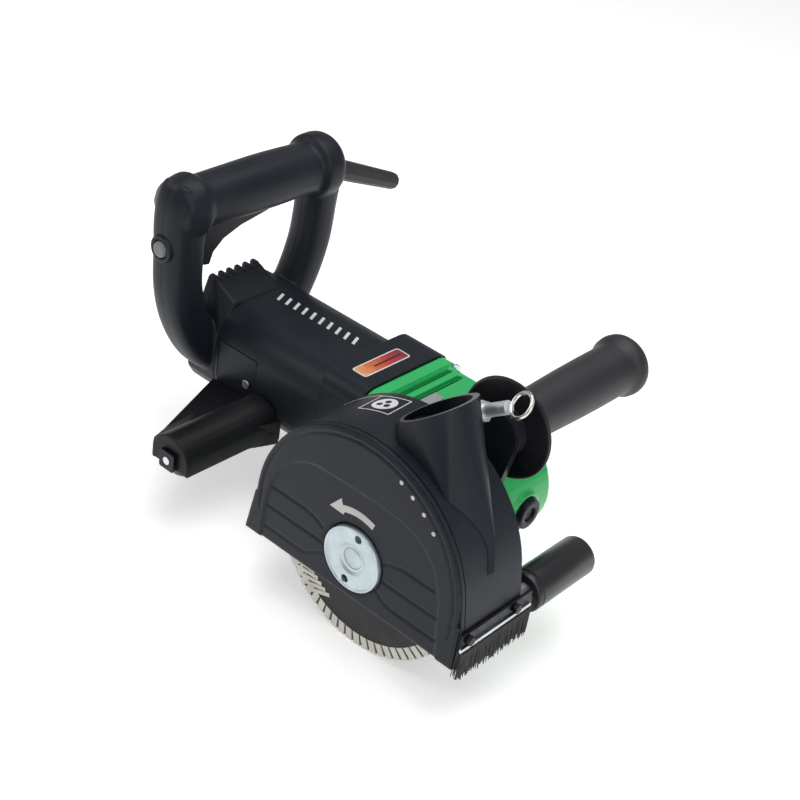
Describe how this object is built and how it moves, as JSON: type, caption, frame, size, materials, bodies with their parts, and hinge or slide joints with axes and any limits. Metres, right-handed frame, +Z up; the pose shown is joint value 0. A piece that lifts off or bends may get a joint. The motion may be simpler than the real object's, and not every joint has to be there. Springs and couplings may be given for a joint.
{
  "type": "wall chaser",
  "caption": "Hand-held wall chaser with twin diamond blades in a swinging dust hood, guide rollers, brush strip, dust port, side handle and rear loop handle",
  "frame": {"origin": "middle of the bounding box in plan, at the lowest point of the blades", "axes": "+X forward to the gear head's nose, +Y along the blade spindle to the side handle, +Z up"},
  "size_m": [0.3484, 0.2806, 0.2259],
  "materials": {
    "black_plastic": "moulded black plastic, fine grain",
    "dark_plastic": "darker moulded plastic",
    "green_paint": "green powder coat on die-cast metal",
    "zinc_steel": "bright zinc plate",
    "dark_steel": "oiled dark steel",
    "blade_steel": "steel core with diamond rim",
    "aluminium": "satin",
    "copper": "copper segments",
    "carbon": "pressed carbon",
    "rubber": "black rubber"
  },
  "bodies": {
    "machine": {"motor_housing": "black_plastic", "stator": "dark_steel", "brush_holder_near": "aluminium", "brush_holder_far": "aluminium", "carbon_brush_near": "carbon", "carbon_brush_far": "carbon", "brush_door_near": "black_plastic", "brush_door_far": "black_plastic", "brush_door_screw_near": "zinc_steel", "brush_door_screw_far": "zinc_steel", "gear_housing": "green_paint", "gear_housing_screw_near": "zinc_steel", "gear_housing_screw_far": "zinc_steel", "carrier_plate": "dark_plastic", "carrier_screw_1": "zinc_steel", "carrier_screw_2": "zinc_steel", "retaining_ring": "dark_steel", "armature_bearing_front": "zinc_steel", "armature_bearing_rear": "zinc_steel", "spindle_bearing_near": "zinc_steel", "spindle_bearing_far": "zinc_steel", "handle_front_shell": "black_plastic", "handle_rear_shell": "black_plastic", "switch_body": "dark_plastic", "cable_boot": "rubber", "rear_bracket": "dark_plastic", "rear_axle": "zinc_steel", "rear_axle_nut": "dark_steel", "handle_stud": "zinc_steel", "side_handle_guard": "dark_plastic", "side_handle_grip": "black_plastic"},
    "hood": {"hood_shell": "black_plastic", "hood_cover": "black_plastic", "dust_tower": "black_plastic", "brush_strip_holder": "dark_steel", "brush_bristles": "rubber", "strip_bolt_1": "dark_steel", "strip_bolt_2": "dark_steel", "front_roller_axle": "dark_steel"},
    "front_roller": {"front_roller": "dark_plastic"},
    "rear_roller": {"rear_roller": "dark_plastic"},
    "clamp": {"clamp_bolt": "zinc_steel", "clamp_ring": "zinc_steel"},
    "spindle": {"spindle_shaft": "dark_steel", "crown_gear": "dark_steel", "inner_flange": "zinc_steel", "blade_near": "blade_steel", "blade_far": "blade_steel", "spacer_ring_1": "zinc_steel", "spacer_ring_2": "zinc_steel", "flange_nut": "zinc_steel"},
    "armature": {"armature_shaft": "dark_steel", "armature_core": "dark_steel", "commutator": "copper", "cooling_fan": "dark_plastic", "pinion": "dark_steel"},
    "trigger": {"trigger": "dark_plastic"},
    "lock_button": {"lock_button": "dark_steel"},
    "spindle_lock": {"spindle_lock_button": "dark_plastic"}
  },
  "joints": [
    {"name": "hood_swing", "type": "hinge", "parent": "machine", "child": "hood", "pos_m": [0.08135, -0.0629, 0.075], "axis": [0, 1, 0], "range_deg": [0, 45]},
    {"name": "spindle_turn", "type": "hinge", "parent": "machine", "child": "spindle", "pos_m": [0.08135, -0.0629, 0.075], "axis": [0, 1, 0], "continuous": true},
    {"name": "armature_turn", "type": "hinge", "parent": "machine", "child": "armature", "pos_m": [-0.01865, -0.0059, 0.075], "axis": [1, 0, 0], "continuous": true},
    {"name": "front_roller_turn", "type": "hinge", "parent": "hood", "child": "front_roller", "pos_m": [0.15935, -0.0239, 0.058], "axis": [0, 1, 0], "continuous": true},
    {"name": "rear_roller_turn", "type": "hinge", "parent": "machine", "child": "rear_roller", "pos_m": [-0.08165, -0.0939, 0.059], "axis": [0, 1, 0], "continuous": true},
    {"name": "clamp_turn", "type": "hinge", "parent": "hood", "child": "clamp", "pos_m": [0.10935, -0.0654, 0.1729], "axis": [0.8192, 0, 0.5736], "range_deg": [0, 180]},
    {"name": "trigger_pull", "type": "hinge", "parent": "machine", "child": "trigger", "pos_m": [-0.15065, -0.0009, 0.188], "axis": [-1, 0, 0], "range_deg": [0, 5], "stiffness_Nm_per_rad": 1.5, "springref_deg": -9.74},
    {"name": "lock_button_press", "type": "slide", "parent": "machine", "child": "lock_button", "axis": [0, 1, 0], "range_m": [0, 0.003], "stiffness_N_per_m": 300, "springref_m": -0.003},
    {"name": "spindle_lock_press", "type": "slide", "parent": "machine", "child": "spindle_lock", "axis": [-1, 0, 0], "range_m": [0, 0.0033], "stiffness_N_per_m": 500, "springref_m": -0.003}
  ],
  "couplings": [
    {"joint": "armature_turn", "follows": "spindle_turn", "ratio": -3}
  ]
}
